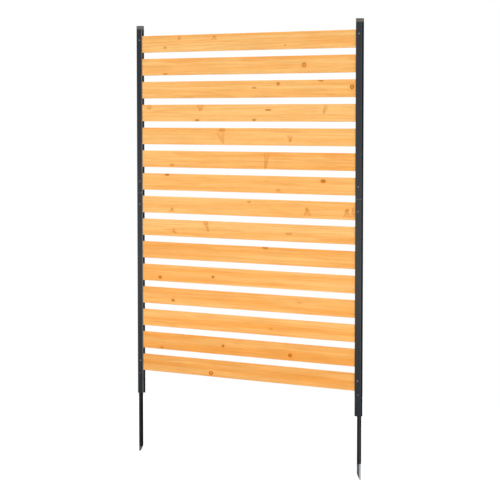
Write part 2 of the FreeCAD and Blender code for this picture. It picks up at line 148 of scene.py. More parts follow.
# How much darker than the rest a slat is, for those that are: painted shade that grows towards the bottom
# of the panel, in part the boards' own darker tone.
SLAT_PAINTED_SHADE_AND_TONE = {8: 0.01, 9: 0.04, 10: 0.05, 11: 0.04, 12: 0.06, 13: 0.06, 14: 0.12, 15: 0.15}

PALE_WOOD = (0.740, 0.440, 0.158)
DEEP_WOOD = (0.690, 0.288, 0.058)
LATE_WOOD = (0.650, 0.215, 0.028)
KNOT_WOOD = (0.340, 0.090, 0.003)

# Patterns of the grain, in waves per metre along the board, through it and up it. Each board looks at
# another place in them, up to GRAIN_SHIFT metres away each way.
WAVER_GRAIN = (1.1, 8.0, 14.0)
BAND_GRAIN = (0.7, 12.0, 38.0)
CLOUD_GRAIN = (9.0, 20.0, 45.0)
FIBRE_GRAIN = (26.0, 700.0, 900.0)
STREAK_GRAIN = (5.0, 150.0, 260.0)
PALE_GRAIN = (2.2, 90.0, 130.0)
GRAIN_SHIFT = 40.0
# The middle of the tree: its slant along the board, and how far in front of the board and above its
# middle it lies. Then how far apart the growth rings are. Each board draws its own between the two
# values.
PITH_SLANT = (-0.022, 0.022)
PITH_IN_FRONT = (0.035, 0.075)
PITH_ABOVE = (-0.045, 0.045)
RING_SPACING = (0.0032, 0.0046)
# How far the rings waver.
RING_WAVER = 0.016
# Shares of the mixes: how far the bands swing and what part of that lies below a slat's own warmth,
# then pale streaks, late wood in the rings and in fine streaks, and the halo round a knot. Then what
# the fibres multiply the tone by and the roughness, each lowest and highest, the relief's depth and
# strength, and the specular level.
BAND_SWING = 0.64
BAND_BELOW = 0.42
PALE_SHARE = 0.50
LATE_SHARE = 0.34
STREAK_SHARE = 0.42
HALO_SHARE = 0.45
FIBRE_LIGHT = (0.91, 1.05)
WOOD_ROUGHNESS = (0.50, 0.66)
WOOD_RELIEF = (0.12 * MM, 0.7)
WOOD_SPECULAR = 0.14
# Knots: how ragged their edge is and in what pattern, how fast their push on the grain fades, how
# strong it is, and how much they narrow through the board, per metre.
KNOT_RAGGED = 0.55
KNOT_PATTERN = 260.0
KNOT_FADE = -0.32
KNOT_PUSH = 0.8
KNOT_THROUGH = 18.0
# Branches: how far from their middle the lines and the core fade out, the power of the length with
# which a branch widens, how far it wavers and in what pattern, the pattern that makes its lines patchy,
# and how warm the wood between the lines is.
BRANCH_LINE = 4.0 * MM
BRANCH_CORE = 3.0 * MM
BRANCH_SPREAD = 0.8
BRANCH_WAVER = 12.0 * MM
BRANCH_WAVER_PATTERN = 110.0
BRANCH_PATCH_PATTERN = 170.0
BRANCH_WARMTH = 1.2

# ---------------------------------------------------------------- coats and metals

# Coats: darker and lighter tone, lowest and highest roughness, specular level.
COATS = {
    "post_coat": ((0.0036, 0.0049, 0.0068), (0.0054, 0.0070, 0.0092), (0.12, 0.19), 0.5),
    "cap_plastic": ((0.088, 0.076, 0.068), (0.106, 0.093, 0.083), (0.42, 0.55), 0.4),
    "spacer_plastic": ((0.008, 0.008, 0.009), (0.012, 0.012, 0.013), (0.50, 0.62), 0.2),
    "bolt_black": ((0.016, 0.016, 0.018), (0.028, 0.028, 0.030), (0.30, 0.42), 0.5),
}
# Plated metals: tone, lowest and highest roughness, and how metallic they all are.
METALS = {
    "zinc_plate": ((0.62, 0.63, 0.65), (0.28, 0.42)),
    "screw_steel": ((0.22, 0.23, 0.25), (0.24, 0.38)),
}
PLATE_METALLIC = 0.9
# How many times as light as a coat's lighter tone its dust is.
DUST_LIGHTENS = 2.2
# Patterns of the coats and metals, in waves per metre, alike every way or along X, Y and Z, and
# reliefs: depth and strength.
PEEL_PATTERN = 1400.0
PEEL_RELIEF = (0.08 * MM, 0.6)
CLOUD_PATTERN = (30.0, 30.0, 5.0)
DUST_PATTERN = 420.0
GRIME_PATTERN = (300.0, 300.0, 24.0)
SCRATCH_PATTERN = (900.0, 900.0, 60.0)
SCRATCH_RELIEF = (0.03 * MM, 0.4)
PAINT_EDGE_PATTERN = (140.0, 140.0, 50.0)
PAINT_EDGE_RELIEF = (0.1 * MM, 0.8)
PAINT_CLOUD_PATTERN = (40.0, 40.0, 8.0)
PAINT_PEEL_PATTERN = 1200.0
PAINT_PEEL_RELIEF = (0.06 * MM, 0.5)
SCUFF_PATTERN = (240.0, 240.0, 45.0)
# Spangles of zinc: cells per metre, and what the darkest multiplies the tone by.
PLATE_SPANGLES = (420.0, 0.82)
STAKE_SPANGLES = (260.0, 0.84)
# Wear of the posts, on the rolled lips and on the cut ends at the joint: its tone and width, and how ragged
# it is on the lips. On the lips the lighter tone is rubbed paint and in part a painted highlight of the
# rolled edge.
LIP_WEAR_AND_HIGHLIGHT = (0.055, 0.056, 0.060)
LIP_WEAR_AND_HIGHLIGHT_WIDTH = 3.0 * MM
LIP_WEAR_AND_HIGHLIGHT_RAGGED = 1.2 * MM
CUT_WEAR = (0.090, 0.090, 0.090)
CUT_WEAR_WIDTH = 1.2 * MM
# The plug below the cap's plate, inside the post, is painted near-black as painted shade of the post's dark
# inside; it starts this far below the plate.
PLUG_PAINTED_SHADE = (0.006, 0.006, 0.007)
PLUG_START = 0.1 * MM
# Stakes: darker and lighter paint, bare legs, the zinc of the bare web, how metallic the bare web and
# rubbed paint are, lowest and highest roughness, specular level, how far up from its tip each stake
# is bare, how ragged that edge is, and down to what depth the steel counts as the web's outer face.
STAKE_PAINT = ((0.0062, 0.0063, 0.0070), (0.0090, 0.0092, 0.0100))
STAKE_BARE_LEGS = (0.080, 0.088, 0.092)
STAKE_ZINC = (0.50, 0.51, 0.53)
STAKE_WEB_METALLIC = 0.35
STAKE_RUBBED_METALLIC = 0.3
STAKE_ROUGHNESS = (0.20, 0.34)
STAKE_SPECULAR = 0.22
BARE_LENGTH = {"left": 18.0 * MM, "right": 53.0 * MM}
BARE_RAGGED = 4.0 * MM
WEB_FACE_DEPTH = 0.5 * MM

# ---------------------------------------------------------------- fasteners

# How far below the top of its slat each slat screw sits, by slat.
SCREW_DROPS = {1: 14.0 * MM, 7: 29.0 * MM, 8: 29.0 * MM, 15: 24.0 * MM}
SCREW_LENGTH = 9.0 * MM
# Radius and height of the head, radius of the shank and of its tip, length of the tip's taper, pitch
# and depth of the thread, the plain neck under the head, depth of the recess. Then the upright rim's
# share of the head's height, the recess's floor as a share of its mouth, and the mesh's rows along the
# shank and sides round it.
Fastener = namedtuple("Fastener", ("head", "rise", "shank", "tip", "taper", "pitch", "depth", "neck",
                                   "recess", "rim_share", "floor_share", "rows", "sides"))
SCREW = Fastener(
    head=3.0 * MM, rise=1.8 * MM, shank=1.6 * MM, tip=0.35 * MM, taper=1.6 * MM, pitch=1.3 * MM,
    depth=0.42 * MM, neck=0.2 * MM, recess=1.25 * MM, rim_share=0.45, floor_share=0.45, rows=36, sides=24)
BOLT = Fastener(
    head=3.8 * MM, rise=2.2 * MM, shank=2.0 * MM, tip=1.45 * MM, taper=0.6 * MM, pitch=0.9 * MM,
    depth=0.3 * MM, neck=1.0 * MM, recess=1.4 * MM, rim_share=0.3, floor_share=0.96, rows=40, sides=32)
CROSS_REACH = 1.75 * MM
CROSS_HALF_WIDTH = 0.38 * MM
SOCKET_ACROSS = 2.6 * MM
# How far a recess's cutter stands out of the head. Then the head's form: its foot's share of the
# radius, how far up its height that foot ends, the flat crown's share of the radius, and the steps of
# the dome. Then the angle from which an edge is sharp, in degrees.
CUT_SPARE = 0.4 * MM
HEAD_FOOT_SHARE = 0.97
HEAD_FOOT_RISE = 0.06
HEAD_CROWN_SHARE = 0.42
HEAD_STEPS = 7
SHARP_EDGE = 38.0


# ---------------------------------------------------------------- node helpers


class Nodes:
    """A short way to write a node tree."""

    def __init__(self, tree):
        self.tree = tree

    def add(self, kind, **values):
        """A new node with some of its settings."""
        node = self.tree.nodes.new(kind)
        for name, value in values.items():
            setattr(node, name, value)
        return node

    def put(self, value, socket):
        """Links an output, or sets a plain value."""
        if isinstance(value, bpy.types.NodeSocket):
            self.tree.links.new(value, socket)
        else:
            socket.default_value = value

    def math(self, operation, *values, clamp=False):
        node = self.add("ShaderNodeMath", operation=operation, use_clamp=clamp)
        for value, socket in zip(values, node.inputs):
            self.put(value, socket)
        return node.outputs[0]

    def vector(self, operation, *values):
        node = self.add("ShaderNodeVectorMath", operation=operation)
        for value, socket in zip(values, node.inputs):
            self.put(value, socket)
        return node.outputs["Value" if operation in ("LENGTH", "DOT_PRODUCT") else "Vector"]

    def place(self):
        """Position in the row frame."""
        return self.add("ShaderNodeTexCoord").outputs["Object"]

    def split(self, vector):
        node = self.add("ShaderNodeSeparateXYZ")
        self.put(vector, node.inputs[0])
        return node.outputs

    def join(self, x, y, z):
        node = self.add("ShaderNodeCombineXYZ")
        for value, socket in zip((x, y, z), node.inputs):
            self.put(value, socket)
        return node.outputs[0]

    def noise(self, vector, scale, detail=3.0, roughness=0.5):
        """Soft noise. scale is a number, or waves per metre along X, Y and Z."""
        if isinstance(scale, tuple):
            vector, scale = self.vector("MULTIPLY", vector, scale), 1.0
        node = self.add("ShaderNodeTexNoise")
        self.put(vector, node.inputs["Vector"])
        node.inputs["Scale"].default_value = scale
        node.inputs["Detail"].default_value = detail
        node.inputs["Roughness"].default_value = roughness
        return node.outputs[0]

    def flakes(self, vector, scale, darkest):
        """Cells of slightly different lightness, like the spangles of zinc."""
        node = self.add("ShaderNodeTexVoronoi")
        self.put(vector, node.inputs["Vector"])
        node.inputs["Scale"].default_value = scale
        return self.ramp(self.split(node.outputs["Color"])[0], (0.0, darkest), (1.0, 1.0), smooth=False)

    def ramp(self, factor, *stops, smooth=True):
        """A curve from a factor to a value or colour: stops are (position, value)."""
        node = self.add("ShaderNodeValToRGB")
        node.color_ramp.interpolation = "EASE" if smooth else "LINEAR"
        marks = node.color_ramp.elements
        while len(marks) < len(stops):
            marks.new(0.5)
        for mark, (position, value) in zip(marks, stops):
            mark.position = position
            colour = value if isinstance(value, tuple) else (value,) * 3
            mark.color = (*colour, 1.0)
        self.put(factor, node.inputs[0])
        return node.outputs[0]

    def mix(self, factor, first, second, blend="MIX"):
        node = self.add("ShaderNodeMix", data_type="RGBA", blend_type=blend)
        for name, value in (("Factor_Float", factor), ("A_Color", first), ("B_Color", second)):
            socket = next(s for s in node.inputs if s.identifier == name)
            self.put((*value, 1.0) if isinstance(value, tuple) else value, socket)
        return next(s for s in node.outputs if s.identifier == "Result_Color")

    def bump(self, height, distance, strength=1.0, after=None):
        node = self.add("ShaderNodeBump")
        self.put(height, node.inputs["Height"])
        node.inputs["Distance"].default_value = distance
        node.inputs["Strength"].default_value = strength
        if after is not None:
            self.put(after, node.inputs["Normal"])
        return node.outputs[0]

    def stray(self, noise, reach):
        """Noise as a length to either side of zero, over reach in all."""
        return self.math("MULTIPLY", self.math("SUBTRACT", noise, 0.5), reach)


def new_material(name):
    """A material with an empty tree but for its shader. Returns (material, nodes, shader)."""
    material = bpy.data.materials.new(name)
    material.use_nodes = True
    shader = material.node_tree.nodes["Principled BSDF"]
    return material, Nodes(material.node_tree), shader


def new_group(name, inputs, outputs):
    """A node group. inputs are (name, kind) and outputs are names of numbers.

    Returns (tree, nodes, what is given, what is made).
    """
    tree = bpy.data.node_groups.new(name, "ShaderNodeTree")
    for socket, kind in inputs:
        tree.interface.new_socket(socket, in_out="INPUT", socket_type="NodeSocket" + kind)
    for socket in outputs:
        tree.interface.new_socket(socket, in_out="OUTPUT", socket_type="NodeSocketFloat")
    n = Nodes(tree)
    return tree, n, n.add("NodeGroupInput").outputs, n.add("NodeGroupOutput").inputs


# ---------------------------------------------------------------- wood


def knot_group():
    """One knot: how far it pushes the grain aside, its dark wood, and its soft halo."""
    inputs = (("Point", "Vector"), ("Centre", "Vector"), ("Shrink", "Vector"), ("Hollow", "Float"))
    tree, n, given, made = new_group("knot", inputs, ("Push", "Dark", "Halo"))

    offset = n.vector("SUBTRACT", given["Point"], given["Centre"])
    radial = n.vector("LENGTH", n.vector("MULTIPLY", offset, given["Shrink"]))
    rough = n.noise(given["Point"], scale=KNOT_PATTERN, detail=2.0)
    radial = n.math("ADD", radial, n.stray(rough, KNOT_RAGGED))
    far = n.math("EXPONENT", n.math("MULTIPLY", n.math("MULTIPLY", radial, radial), KNOT_FADE))
    half = n.math("MULTIPLY", radial, 0.5)
    solid = n.ramp(half, (0.0, 0.75), (0.30, 0.85), (0.46, 1.0), (0.66, 0.0))
    ring = n.ramp(half, (0.16, 0.12), (0.36, 1.0), (0.46, 0.9), (0.60, 0.0))
    hollow = n.math("MULTIPLY", ring, given["Hollow"])
    filled = n.math("MULTIPLY", solid, n.math("SUBTRACT", 1.0, given["Hollow"]))
    n.put(n.math("MULTIPLY", far, n.split(offset)[2]), made["Push"])
    n.put(n.math("ADD", hollow, filled), made["Dark"])
    n.put(far, made["Halo"])
    return tree


def branch_group():
    """A branch cut lengthwise: two dark lines that fan out from a point, with warmer wood between."""
    inputs = (("Point", "Vector"), ("Start", "Vector"), ("Way", "Vector"), ("Across", "Vector"),
              ("Length", "Float"), ("Slope", "Float"))
    tree, n, given, made = new_group("branch", inputs, ("Dark", "Warm"))

    offset = n.vector("SUBTRACT", given["Point"], given["Start"])
    along = n.vector("DOT_PRODUCT", offset, given["Way"])
    across = n.vector("DOT_PRODUCT", offset, given["Across"])
    waver = n.noise(given["Point"], scale=BRANCH_WAVER_PATTERN, detail=4.0)
    across = n.math("ADD", across, n.stray(waver, BRANCH_WAVER))
    from_middle = n.math("ABSOLUTE", across)
    share = n.math("DIVIDE", along, given["Length"])
    inside = n.ramp(share, (0.0, 0.0), (0.06, 1.0), (0.80, 1.0), (1.0, 0.0))
    reach = n.math("POWER", n.math("MAXIMUM", along, 0.0), BRANCH_SPREAD)
    gap = n.math("SUBTRACT", from_middle, n.math("MULTIPLY", reach, given["Slope"]))

    line = n.math("MULTIPLY", n.math("ABSOLUTE", gap), 1.0 / BRANCH_LINE)
    line = n.ramp(line, (0.0, 1.0), (0.45, 0.8), (1.0, 0.0))
    core = n.ramp(n.math("MULTIPLY", from_middle, 1.0 / BRANCH_CORE), (0.0, 0.8), (1.0, 0.0))
    line = n.math("MAXIMUM", line, n.math("MULTIPLY", core, n.ramp(share, (0.5, 1.0), (0.8, 0.0))))
    patches = n.noise(given["Point"], scale=BRANCH_PATCH_PATTERN, detail=2.0)
    line = n.math("MULTIPLY", line, n.ramp(patches, (0.30, 0.35), (0.60, 1.0)))
    tip = n.ramp(share, (0.0, 1.0), (0.45, 0.75), (1.0, 0.35))
    n.put(n.math("MULTIPLY", n.math("MULTIPLY", line, inside), tip), made["Dark"])
    n.put(n.math("MULTIPLY", n.math("LESS_THAN", gap, 0.0), inside), made["Warm"])
    return tree


def knots_and_branches(n, point, height, slat_number, middle_height, groups):
    """The marks of one slat. Returns the height bent round its knots, the dark wood and the halo."""
    dark, halo = 0.0, 0.0
    for along, above, half_length, half_height, tone, hollow in KNOTS.get(slat_number, ()):
        knot = n.add("ShaderNodeGroup", node_tree=groups["knot"])
        n.put(point, knot.inputs["Point"])
        n.put((along * MM, 0.0, middle_height + above * MM), knot.inputs["Centre"])
        n.put((1.0 / (half_length * MM), KNOT_THROUGH, 1.0 / (half_height * MM)), knot.inputs["Shrink"])
        n.put(hollow, knot.inputs["Hollow"])
        height = n.math("SUBTRACT", height, n.math("MULTIPLY", knot.outputs["Push"], KNOT_PUSH))
        dark = n.math("MAXIMUM", dark, n.math("MULTIPLY", knot.outputs["Dark"], tone))
        halo = n.math("MAXIMUM", halo, n.math("MULTIPLY", knot.outputs["Halo"], tone))
    for along, above, lean, length, half_width, tone in BRANCHES.get(slat_number, ()):
        branch = n.add("ShaderNodeGroup", node_tree=groups["branch"])
        turn = math.radians(lean)
        n.put(point, branch.inputs["Point"])
        n.put((along * MM, 0.0, middle_height + above * MM), branch.inputs["Start"])
        n.put((math.sin(turn), 0.0, math.cos(turn)), branch.inputs["Way"])
        n.put((math.cos(turn), 0.0, -math.sin(turn)), branch.inputs["Across"])
        n.put(length * MM, branch.inputs["Length"])
        n.put(half_width * MM / (length * MM) ** BRANCH_SPREAD, branch.inputs["Slope"])
        dark = n.math("MAXIMUM", dark, n.math("MULTIPLY", branch.outputs["Dark"], tone))
        halo = n.math("MAXIMUM", halo, n.math("MULTIPLY", branch.outputs["Warm"], BRANCH_WARMTH * tone))
    return height, dark, halo


def late_wood(n, grain, moved, middle_height, draw):
    """Growth rings round a pith that lies in front of the board and slants along it."""
    x, y, height = n.split(grain)
    waver = n.noise(moved, scale=WAVER_GRAIN, detail=2.0)
    slant = n.math("MULTIPLY", x, draw.uniform(*PITH_SLANT))
    depth = n.math("ADD", n.math("ADD", y, slant), draw.uniform(*PITH_IN_FRONT))
    side = n.math("SUBTRACT", height, middle_height + draw.uniform(*PITH_ABOVE))
    radius = n.math("SQRT", n.math("ADD", n.math("MULTIPLY", depth, depth), n.math("MULTIPLY", side, side)))
    radius = n.math("ADD", radius, n.math("MULTIPLY", waver, RING_WAVER))
    rings = n.math("FRACT", n.math("MULTIPLY", radius, 1.0 / draw.uniform(*RING_SPACING)))
    return n.ramp(rings, (0.0, 0.0), (0.55, 0.25), (0.88, 1.0), (1.0, 0.0), smooth=False)


def clear_wood(n, moved, late, fibre, slat_number):
    """The tone between the knots: bands of honey and orange, pale and late streaks, fine fibres."""
    bands = n.noise(moved, scale=BAND_GRAIN, detail=3.5, roughness=0.6)
    clouds = n.noise(moved, scale=CLOUD_GRAIN, detail=3.0)
    streak = n.noise(moved, scale=STREAK_GRAIN, detail=2.5, roughness=0.6)
    pale = n.noise(moved, scale=PALE_GRAIN, detail=2.0)

    swing = BAND_SWING * SLAT_SWING.get(slat_number, 1.0)
    lean = SLAT_WARMTH[slat_number - 1] - BAND_BELOW * swing
    share = n.ramp(bands, (0.34, 0.0), (0.66, 1.0))
    share = n.math("ADD", n.math("MULTIPLY", share, swing), lean, clamp=True)
    tone = n.mix(share, PALE_WOOD, DEEP_WOOD)
    pale = n.ramp(pale, (0.50, 0.0), (0.68, 1.0))
    tone = n.mix(n.math("MULTIPLY", pale, PALE_SHARE), tone, PALE_WOOD)
    tone = n.mix(n.math("MULTIPLY", late, LATE_SHARE), tone, LATE_WOOD)
    streak = n.ramp(streak, (0.50, 0.0), (0.68, 1.0))
    tone = n.mix(n.math("MULTIPLY", streak, STREAK_SHARE), tone, LATE_WOOD)
    grit = n.math("ADD", n.math("MULTIPLY", fibre, 0.6), n.math("MULTIPLY", clouds, 0.4))
    # Lower slats are made darker here: painted shade towards the bottom, in part their own tone.
    low, high = (light - SLAT_PAINTED_SHADE_AND_TONE.get(slat_number, 0.0) for light in FIBRE_LIGHT)
    return n.mix(1.0, tone, n.ramp(grit, (0.32, low), (0.68, high)), blend="MULTIPLY")


def wood(name, slat_number, middle_height, groups, draw):
    """Oiled softwood for one slat: growth rings cut along the board, fibres and the slat's own knots."""
    material, n, shader = new_material(name)
    point = n.place()
    x, y, z = n.split(point)
    shift = tuple(draw.uniform(-GRAIN_SHIFT, GRAIN_SHIFT) for _ in range(3))

    # The grain runs along X and parts round each knot.
    height, dark, halo = knots_and_branches(n, point, z, slat_number, middle_height, groups)
    grain = n.join(x, y, height)
    moved = n.vector("ADD", grain, shift)
    late = late_wood(n, grain, moved, middle_height, draw)
    fibre = n.noise(moved, scale=FIBRE_GRAIN, detail=3.0, roughness=0.6)

    tone = clear_wood(n, moved, late, fibre, slat_number)
    tone = n.mix(n.math("MULTIPLY", halo, HALO_SHARE), tone, LATE_WOOD)
    tone = n.mix(dark, tone, KNOT_WOOD)
    n.put(tone, shader.inputs["Base Color"])

    low, high = WOOD_ROUGHNESS
    n.put(n.ramp(fibre, (0.3, low), (0.7, high)), shader.inputs["Roughness"])
    shader.inputs["Specular IOR Level"].default_value = WOOD_SPECULAR
    relief = n.math("ADD", n.math("MULTIPLY", fibre, 0.5), n.math("MULTIPLY", late, 0.5))
    n.put(n.bump(relief, *WOOD_RELIEF), shader.inputs["Normal"])
    return material


# ---------------------------------------------------------------- coats and metals


def speckle_coat(name):
    """A coloured coat with a fine orange peel, faint dust and a cloudy sheen.

    Returns (material, nodes, shader, tone), so that a finish can add its own wear to the tone.
    """
    darker, lighter, (low, high), specular = COATS[name]
    material, n, shader = new_material(name)
    point = n.place()
    peel = n.noise(point, scale=PEEL_PATTERN, detail=2.0)
    cloud = n.noise(point, scale=CLOUD_PATTERN, detail=4.0)
    dust = n.noise(point, scale=DUST_PATTERN, detail=4.0, roughness=0.7)
    tone = n.mix(n.ramp(cloud, (0.35, 0.0), (0.70, 1.0)), darker, lighter)
    dusty = tuple(DUST_LIGHTENS * c for c in lighter)
    tone = n.mix(n.ramp(dust, (0.62, 0.0), (0.80, 0.35)), tone, dusty)
    n.put(tone, shader.inputs["Base Color"])
    n.put(n.ramp(cloud, (0.3, low), (0.7, high)), shader.inputs["Roughness"])
    shader.inputs["Specular IOR Level"].default_value = specular
    n.put(n.bump(peel, *PEEL_RELIEF), shader.inputs["Normal"])
    return material, n, shader, tone


def post_finish(joint_height, lip_place):
    """Dark powder coat, rubbed and with a painted highlight on the rolled lips, and thin on the cut ends at
    the joint.
    """
    material, n, shader, tone = speckle_coat("post_coat")
    point = n.place()
    x, _, z = n.split(point)
    grime = n.noise(point, scale=GRIME_PATTERN, detail=4.0)
    # The lighter strip on the rolled lips: rubbed paint, and in part a painted highlight of the rolled
    # edge.
    out = n.math("SUBTRACT", n.math("ABSOLUTE", x), lip_place)
    out = n.math("ADD", out, n.stray(grime, LIP_WEAR_AND_HIGHLIGHT_RAGGED))
    lip_wear_and_highlight = n.ramp(n.math("MULTIPLY", out, 1.0 / LIP_WEAR_AND_HIGHLIGHT_WIDTH), (0.35, 1.0), (0.80, 0.0))
    rubbed = n.math("MULTIPLY", lip_wear_and_highlight, n.ramp(grime, (0.3, 0.5), (0.6, 0.9)))
    tone = n.mix(rubbed, tone, LIP_WEAR_AND_HIGHLIGHT)
    cut = n.math("ABSOLUTE", n.math("SUBTRACT", z, joint_height))
    thin = n.ramp(n.math("MULTIPLY", cut, 1.0 / CUT_WEAR_WIDTH), (0.5, 0.55), (1.0, 0.0))
    n.put(n.mix(thin, tone, CUT_WEAR), shader.inputs["Base Color"])
    return material


def stake_finish(side):
    """Black paint over a bare point: bright zinc on the outer face of the web, grey on the legs."""
    low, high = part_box(side + "_stake")
    web_face = max(abs(low.x), abs(high.x))
    material, n, shader = new_material(side + "_stake_finish")
    point = n.place()
    x, _, z = n.split(point)

    # Where it is bare, where that is on the web, and where the paint is rubbed or chipped.
    edge = n.noise(point, scale=PAINT_EDGE_PATTERN, detail=4.0)
    rise = n.math("ADD", n.math("SUBTRACT", z, low.z), n.stray(edge, BARE_RAGGED))
    on_web = n.math("GREATER_THAN", n.math("ABSOLUTE", x), web_face - WEB_FACE_DEPTH)
    bare = n.math("LESS_THAN", rise, BARE_LENGTH[side])
    bare_web = n.math("MULTIPLY", bare, on_web)
    scuffed = n.noise(point, scale=SCUFF_PATTERN, detail=5.0, roughness=0.7)
    rubbed = n.math("MULTIPLY", n.ramp(scuffed, (0.30, 0.70), (0.62, 1.0)), bare)
    rubbed = n.math("MAXIMUM", rubbed, n.ramp(scuffed, (0.70, 0.0), (0.76, 0.5)))

    zinc = n.mix(1.0, STAKE_ZINC, n.flakes(point, *STAKE_SPANGLES), blend="MULTIPLY")
    cloud = n.noise(point, scale=PAINT_CLOUD_PATTERN, detail=4.0)
    paint = n.mix(n.ramp(cloud, (0.35, 0.0), (0.7, 1.0)), *STAKE_PAINT)
    tone = n.mix(rubbed, paint, STAKE_BARE_LEGS)
    n.put(n.mix(bare_web, tone, zinc), shader.inputs["Base Color"])
    web_metal = n.math("MULTIPLY", bare_web, STAKE_WEB_METALLIC)
    rubbed_metal = n.math("MULTIPLY", rubbed, STAKE_RUBBED_METALLIC)
    n.put(n.math("MAXIMUM", web_metal, rubbed_metal), shader.inputs["Metallic"])
    smooth, rough = STAKE_ROUGHNESS
    n.put(n.ramp(scuffed, (0.3, smooth), (0.7, rough)), shader.inputs["Roughness"])
    shader.inputs["Specular IOR Level"].default_value = STAKE_SPECULAR
    peel = n.noise(point, scale=PAINT_PEEL_PATTERN, detail=2.0)
    painted = n.math("SUBTRACT", 1.0, bare_web)
    normal = n.bump(painted, *PAINT_EDGE_RELIEF, after=n.bump(peel, *PAINT_PEEL_RELIEF))
    n.put(normal, shader.inputs["Normal"])
    return material


def cap_finish(plate_height):
    """Weathered grey-brown plastic on the plate. The plug below it, in the post, is painted near-black as
    painted shade.
    """
    material, n, shader, tone = speckle_coat("cap_plastic")
    z = n.split(n.place())[2]
    # Painted shade: the plug goes near-black below the plate, where the inside of the post lies in shade.
    in_post_shade = n.math("LESS_THAN", z, plate_height - PLUG_START)
    n.put(n.mix(in_post_shade, tone, PLUG_PAINTED_SHADE), shader.inputs["Base Color"])
    return material


def plated_finish(name):
    """Plated steel: small spangles and drawn scratches."""
    colour, (low, high) = METALS[name]
    material, n, shader = new_material(name)
    point = n.place()
    scratch = n.noise(point, scale=SCRATCH_PATTERN, detail=3.0)
    tone = n.mix(1.0, colour, n.flakes(point, *PLATE_SPANGLES), blend="MULTIPLY")
    n.put(tone, shader.inputs["Base Color"])
    shader.inputs["Metallic"].default_value = PLATE_METALLIC
    n.put(n.ramp(scratch, (0.3, low), (0.7, high)), shader.inputs["Roughness"])
    n.put(n.bump(scratch, *SCRATCH_RELIEF), shader.inputs["Normal"])
    return material


# ---------------------------------------------------------------- screws and bolts


def skin(bm, rings):
    """Faces between rings of corners, and one over each end."""
    count = len(rings[0])
    for low_ring, high_ring in zip(rings, rings[1:]):
        for k in range(count):
            m = (k + 1) % count
            bm.faces.new((low_ring[k], low_ring[m], high_ring[m], high_ring[k]))
    bm.faces.new(list(reversed(rings[0])))
    bm.faces.new(rings[-1])


def turned(profile, sides, thread):
    """A closed turned body round +Z. profile is [(radius, height)] from the tip up to the crown.

    thread is (lowest height, highest height, pitch, depth): between them a helix stands off the core.
    """
    low, high, pitch, depth = thread
    bm = bmesh.new()
    rings = []
    for radius, height in profile:
        ring = []
        for k in range(sides):
            turn = 2.0 * math.pi * k / sides
            reach = radius
            if low <= height <= high:
                phase = (height / pitch - k / sides) % 1.0
                fade = min(1.0, (height - low) / pitch, (high - height) / pitch)
                reach -= depth * (1.0 - max(0.0, 1.0 - abs(phase - 0.5) * 4.0) * fade)
            ring.append(bm.verts.new((reach * math.cos(turn), reach * math.sin(turn), height)))
        rings.append(ring)
    skin(bm, rings)
    return bm


def prism(outline, low, high, low_share):
    """A closed tapered prism: outline at the high end, shrunk by low_share at the low end."""
    bm = bmesh.new()
    ends = []
    for height, share in ((low, low_share), (high, 1.0)):
        ends.append([bm.verts.new((x * share, y * share, height)) for x, y in outline])
    skin(bm, ends)
    return bm


def object_from(bm, name):
    """An object in the scene that takes over a mesh in the making."""
    mesh = bpy.data.meshes.new(name)
    bmesh.ops.recalc_face_normals(bm, faces=bm.faces)
    bm.to_mesh(mesh)
    bm.free()
    made = bpy.data.objects.new(name, mesh)
    bpy.context.scene.collection.objects.link(made)
    return made


def carve(body_bm, cutter_bm, name):
    """The mesh of a body with a recess cut into it."""
    body = object_from(body_bm, name)
    cutter = object_from(cutter_bm, name + "_cutter")
    cut = body.modifiers.new("recess", "BOOLEAN")
    cut.operation = "DIFFERENCE"
    cut.solver = "EXACT"
    cut.object = cutter
    graph = bpy.context.evaluated_depsgraph_get()
    mesh = bpy.data.meshes.new_from_object(body.evaluated_get(graph))
    for used in (body, cutter):
        old = used.data
        bpy.data.objects.remove(used)
        bpy.data.meshes.remove(old)
    return mesh


def cross_outline(reach, half_width):
    """A plus sign: reach out from its middle, and half_width to each side of an arm's middle."""
    a, b = reach, half_width
    return [(a, -b), (a, b), (b, b), (b, a), (-b, a), (-b, b), (-a, b), (-a, -b), (-b, -b), (-b, -a),
            (b, -a), (b, -b)]


def hexagon(across_flats):
    """The corners of a regular hexagon."""
    reach = across_flats / math.sqrt(3.0)
    return [(reach * math.cos(math.pi * k / 3.0), reach * math.sin(math.pi * k / 3.0)) for k in range(6)]


def head_profile(radius, height, rim_share):
    """A pan head: a short upright rim, then a dome up to a flat crown."""
    rim = height * rim_share
    points = [(radius * HEAD_FOOT_SHARE, 0.0), (radius, HEAD_FOOT_RISE * height), (radius, rim)]
    for k in range(1, HEAD_STEPS + 1):
        turn = 0.5 * math.pi * k / HEAD_STEPS
        dome = 0.0 if k == HEAD_STEPS else math.cos(turn)
        reach = radius * (HEAD_CROWN_SHARE + (1.0 - HEAD_CROWN_SHARE) * dome)
        points.append((reach, rim + (height - rim) * math.sin(turn)))
    return points


def threaded_mesh(name, size, length, recess_outline):
    """A threaded fastener with a recess in its head. The head sits on Z = 0, its shank below."""
    start = size.taper - length
    profile = [(size.tip, -length)]
    profile += [(size.shank, start * (1.0 - k / size.rows)) for k in range(size.rows + 1)]
    profile += head_profile(size.head, size.rise, size.rim_share)
    body = turned(profile, size.sides, (start, -size.neck, size.pitch, size.depth))
    cutter = prism(recess_outline, size.rise - size.recess, size.rise + CUT_SPARE, size.floor_share)
    return carve(body, cutter, name)


